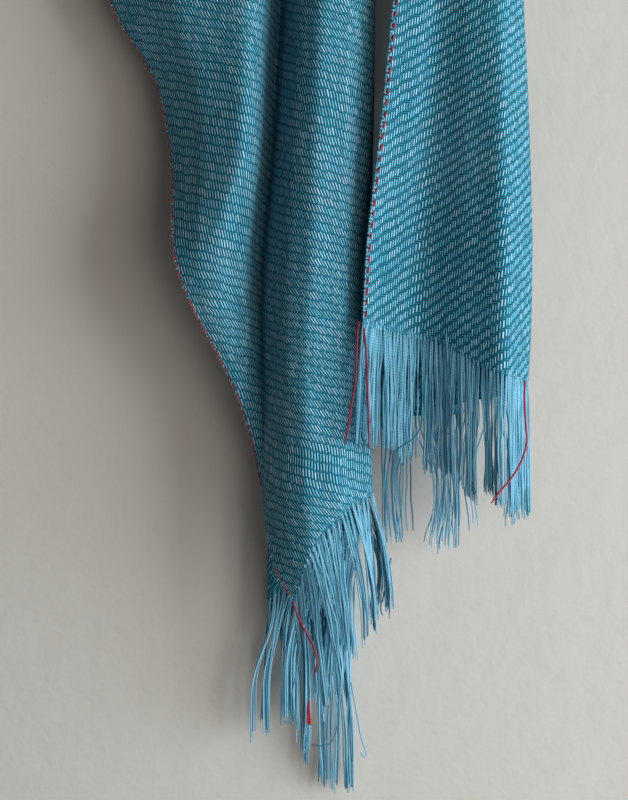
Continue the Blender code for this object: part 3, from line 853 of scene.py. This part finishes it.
def edgeFrame(rows, column):  # points, along, inward and facing directions down a column
    edge = rows[:, column]
    beside = column + 3 if column == 0 else column - 3
    inward = rows[:, beside] - rows[:, column]
    inward /= np.linalg.norm(inward, axis=1, keepdims=True) + 1e-12
    ahead = np.gradient(edge, axis=0)
    ahead /= np.linalg.norm(ahead, axis=1, keepdims=True) + 1e-12
    facing = np.cross(ahead, inward)
    facing /= np.linalg.norm(facing, axis=1, keepdims=True) + 1e-12
    run = np.concatenate([[0], np.cumsum(np.linalg.norm(np.diff(edge, axis=0), axis=1))])
    return edge, inward, facing, run


def sampleFrame(frameRows, place):
    edge, inward, facing, run = frameRows
    return [np.array([np.interp(place, run, part[:, k]) for k in range(3)])
            for part in (edge, inward, facing)]


def selvedgeYarn(name, rows, column, stitch):
    frameRows = edgeFrame(rows, column)
    total = frameRows[3][-1]
    half = cloth["thickness"] / 2 + 0.0002
    loops, place = [], 0.004
    while place < total - 0.002:
        edge, inward, facing = sampleFrame(frameRows, place)
        reach = selvedge["loopReach"] * mm * (1 + rng.normal(0, 0.15))
        tilt = (sampleFrame(frameRows, place + 0.001)[0] - edge) * rng.normal(0, 0.5)
        loops.append([
            edge + inward * reach + facing * half * 0.7 + tilt,
            edge + inward * reach * 0.35 + facing * half * 1.3,
            edge - inward * 0.0006 + facing * half * 0.5,
            edge - inward * 0.0006 - facing * half * 0.5,
            edge + inward * reach * 0.35 - facing * half * 1.3,
            edge + inward * reach - facing * half * 0.7 - tilt,
        ])
        place += selvedge["loopPitch"] * mm * (1 + rng.normal(0, 0.08))
    edging = tubes(name + "Loops", loops, [selvedge["loopRadius"]] * len(loops), 4, edgeMaterial, 1.0)
    if not stitch:
        return
    pitch, long, thick, inset = stitch
    hidden = [drop * mm for drop in selvedge["turnedUnder"]] if name == "leftEdge" else (0, 0)
    stitches, place = [], 0.006
    while place < total - 0.008:
        length = long * mm * (1 + rng.normal(0, 0.12))
        lean = rng.normal(0.0009, 0.0003)
        for face, start in ((1, place), (-1, place + pitch * mm * 0.5)):
            path = []
            for t in np.linspace(0, 1, 7):
                edge, inward, facing = sampleFrame(frameRows, start + length * t)
                rise = half + thick * (0.8 * math.sin(math.pi * t) ** 0.6 - 0.4)
                aside = inset * mm + (0.5 - t) * lean
                path.append(edge + inward * aside + facing * rise * face)
            if not hidden[0] < -path[3][2] < hidden[1]:
                stitches.append(path)
        place += pitch * mm * (1 + rng.normal(0, 0.07))
    thread = tubes(name + "Red", stitches, [thick] * len(stitches), 6, redMaterial, 0.7)


for name, clothName in (("leftEdge", "leftCloth"), ("rightEdge", "rightCloth")):
    rows = surfaces[clothName][0]
    selvedgeYarn(name, rows, 0, selvedge["leftStitch" if name == "leftEdge" else "rightStitch"])
    selvedgeYarn(name + "Far", rows, rows.shape[1] - 1, None)
print("selvedges stitched")

# Loose red strands at the ends of the red selvedge, by pixel and forward distance
redStrands = {
    "rightCorner": ((359, 322, 125), (357, 332, 126), (356, 355, 127), (355, 380, 127),
                    (351, 405, 127), (347, 430, 127), (345, 444, 127)),
    "rightSecond": ((362, 322, 125), (364, 335, 126), (366, 362, 128), (367, 392, 129),
                    (368, 420, 129), (368, 447, 128)),
    "rightFar": ((523, 381, 127), (522, 400, 131), (523, 424, 134), (524, 442, 135),
                 (518, 462, 135), (508, 478, 135), (497, 491, 135), (489, 502, 134)),
    "leftCorner": ((293, 600, 117), (297, 612, 119), (304, 627, 121), (312, 641, 123),
                   (316, 652, 123), (317, 662, 121), (315, 672, 117)),
}
redTuft = {"top": (309, 698, 123), "length": 20, "count": 5}


def softPath(points, steps=22):  # a smooth line through a few places
    spots = np.array([atPixel(*place) for place in points])
    t = np.linspace(0, len(spots) - 1, steps)
    out = []
    for value in t:
        k = int(min(value, len(spots) - 2))
        f = value - k
        a, b, c, d = (spots[min(max(k + n, 0), len(spots) - 1)] for n in (-1, 0, 1, 2))
        square, cube = 2 * a - 5 * b + 4 * c - d, 3 * b - a - 3 * c + d
        out.append(0.5 * (2 * b + (c - a) * f + square * f**2 + cube * f**3))
    return out


strayStrands = {
    "hook": ((300, 640, 119), (297, 668, 121), (292, 692, 122), (291, 706, 122),
             (294, 715, 122), (291, 720, 122), (284, 719, 122)),
    "bridge": ((336, 668, 119), (337, 700, 121), (337, 722, 122), (333, 737, 122),
               (325, 743, 122), (312, 742, 121)),
    "curl": ((352, 690, 30), (358, 722, 32), (362, 744, 34), (366, 757, 35), (368, 763, 35),
             (365, 766, 36), (362, 761, 36)),
    "rootCordA": ((446, 333, 106), (446, 342, 107), (447, 351, 107), (447, 360, 107)),
    "rootCordB": ((455, 343, 107), (456, 352, 108), (456, 362, 108), (457, 373, 108)),
    "outward": ((392, 560, 70), (386, 590, 80), (381, 608, 84), (383, 617, 85)),
}
strays = tubes("strayStrands", [softPath(points) for points in strayStrands.values()],
               [yarn["stray"]] * len(strayStrands), 6, fringeMaterial, 0.8)
# painted shade: one sky fringe strand in the shaded hollow, made in the darker hem yarn
shadeStrayPlaces = ((423, 380, 120), (421, 405, 126), (420, 424, 129), (414, 436, 130),
              (402, 445, 131), (390, 452, 131))
darkStray = tubes("darkStray", [softPath(shadeStrayPlaces)], [yarn["darkStray"]], 6, hemAndShadeMaterial, 0.8)

redPaths = [softPath(points) for points in redStrands.values()]
for _ in range(redTuft["count"]):
    top = atPixel(*redTuft["top"])
    lean, deep = rng.normal(0, 1.6), rng.normal(0, 1.2)
    redPaths.append([
        np.array(top) + mm * np.array(
            [lean * t**1.3, deep * t, -t * redTuft["length"] * (1 + lean * 0.02)])
        for t in np.linspace(0, 1, 8)
    ])
redYarn = tubes("redStrands", redPaths, [yarn["red"]] * len(redPaths), 6, redMaterial, 0.6)

# Peg and plate keep their solids and get a wood finish
for nodeName in ("peg", "wall_plate"):
    node = bpy.data.objects[nodeName]
    for slot in node.material_slots:
        slot.material = woodMaterial

# Stage: plaster wall, pale floor, lights, camera

stage = {
    "wallColor": (0.51, 0.50, 0.485, 1), "patchColor": (0.48, 0.465, 0.45, 1),
    "wallBack": 0.0006, "wallTop": 1.6, "floorDrop": 1.95, "floorSides": 64, "reach": 3.2,
    "cameraAway": 2.6, "frameWidth": 0.534, "focusForward": 0.10,
    "keyPlace": (3.1, -1.8, -1.15), "keySize": 3.0, "keyPower": 240, "keyColor": (0.95, 1.0, 1.0),
    "fillPlace": (1.0, -2.85, -1.2), "fillSize": 1.5, "fillPower": 25, "fillColor": (1.0, 0.9, 0.8),
    "sky": (1.0, 0.87, 0.75, 1), "skyStrength": 0.1,
}


def makePlaster(name, seeThrough):
    mat, tree, shader = newMaterial(name)
    place = objectPlace(tree)
    broad = noise(tree, place, 2.4, 3)
    dents = noise(tree, place, 26, 3, 0.55)
    grit = noise(tree, place, 210, 2)
    patches = ramp(tree, broad, 0.3, 0.7, 0.0, 0.35)
    color = blendColor(tree, patches, stage["wallColor"], stage["patchColor"])
    tree.links.new(color, shader.inputs["Base Color"])
    shader.inputs["Roughness"].default_value = 0.9
    height = calc(tree, "ADD", calc(tree, "MULTIPLY", dents, 0.85), calc(tree, "MULTIPLY", grit, 0.12))
    bump(tree, shader, height, 0.35, 0.004)
    if seeThrough:  # from behind, the wall lets the part show
        clear = tree.nodes.new("ShaderNodeBsdfTransparent")
        mix = tree.nodes.new("ShaderNodeMixShader")
        face = tree.nodes.new("ShaderNodeNewGeometry")
        tree.links.new(face.outputs["Backfacing"], mix.inputs[0])
        tree.links.new(shader.outputs[0], mix.inputs[1])
        tree.links.new(clear.outputs[0], mix.inputs[2])
        tree.links.new(mix.outputs[0], tree.nodes["Material Output"].inputs["Surface"])
    return mat


def stagePiece(name, corners, material):
    mesh = bpy.data.meshes.new(name)
    mesh.from_pydata(corners, [], [tuple(range(len(corners)))])
    mesh.materials.append(material)
    obj = bpy.data.objects.new(name, mesh)
    bpy.context.scene.collection.objects.link(obj)


r, floorZ = stage["reach"], -stage["floorDrop"]
wallY, wallTop = stage["wallBack"], stage["wallTop"]
stagePiece("plasterWall", [(-r, wallY, floorZ), (r, wallY, floorZ), (r, wallY, wallTop),
                           (-r, wallY, wallTop)], makePlaster("plaster", True))
turns = np.linspace(0, 2 * math.pi, stage["floorSides"] + 1)[:-1]
stagePiece("paleFloor", [(r * math.cos(a), r * math.sin(a), floorZ) for a in turns],
           makePlaster("floorPaint", False))


def areaLight(name, place, target, size, power, color):
    data = bpy.data.lights.new(name, "AREA")
    data.size = size
    data.energy = power
    data.color = color
    obj = bpy.data.objects.new(name, data)
    obj.location = place
    obj.rotation_euler = (Vector(target) - Vector(place)).to_track_quat("-Z", "Y").to_euler()
    bpy.context.scene.collection.objects.link(obj)


aim = (0, -0.08, -0.85)
areaLight("window", stage["keyPlace"], aim, stage["keySize"], stage["keyPower"], stage["keyColor"])
areaLight("room", stage["fillPlace"], aim, stage["fillSize"], stage["fillPower"], stage["fillColor"])
world = bpy.data.worlds.new("softRoom")
world.use_nodes = True
world.node_tree.nodes["Background"].inputs[0].default_value = stage["sky"]
world.node_tree.nodes["Background"].inputs[1].default_value = stage["skyStrength"]
bpy.context.scene.world = world
bpy.context.scene.view_settings.view_transform = "Standard"

camera = bpy.data.cameras.new("camera")
camera.sensor_fit = "HORIZONTAL"
camera.sensor_width = 36
camera.lens = 36 * stage["cameraAway"] / stage["frameWidth"]
eye = bpy.data.objects.new("camera", camera)
centre = atPixel(*photo["middle"], stage["focusForward"] * 1000)
eye.location = (centre.x, centre.y - stage["cameraAway"], centre.z)
eye.rotation_euler = (math.pi / 2, 0, 0)
bpy.context.scene.collection.objects.link(eye)
bpy.context.scene.camera = eye
print("stage set")
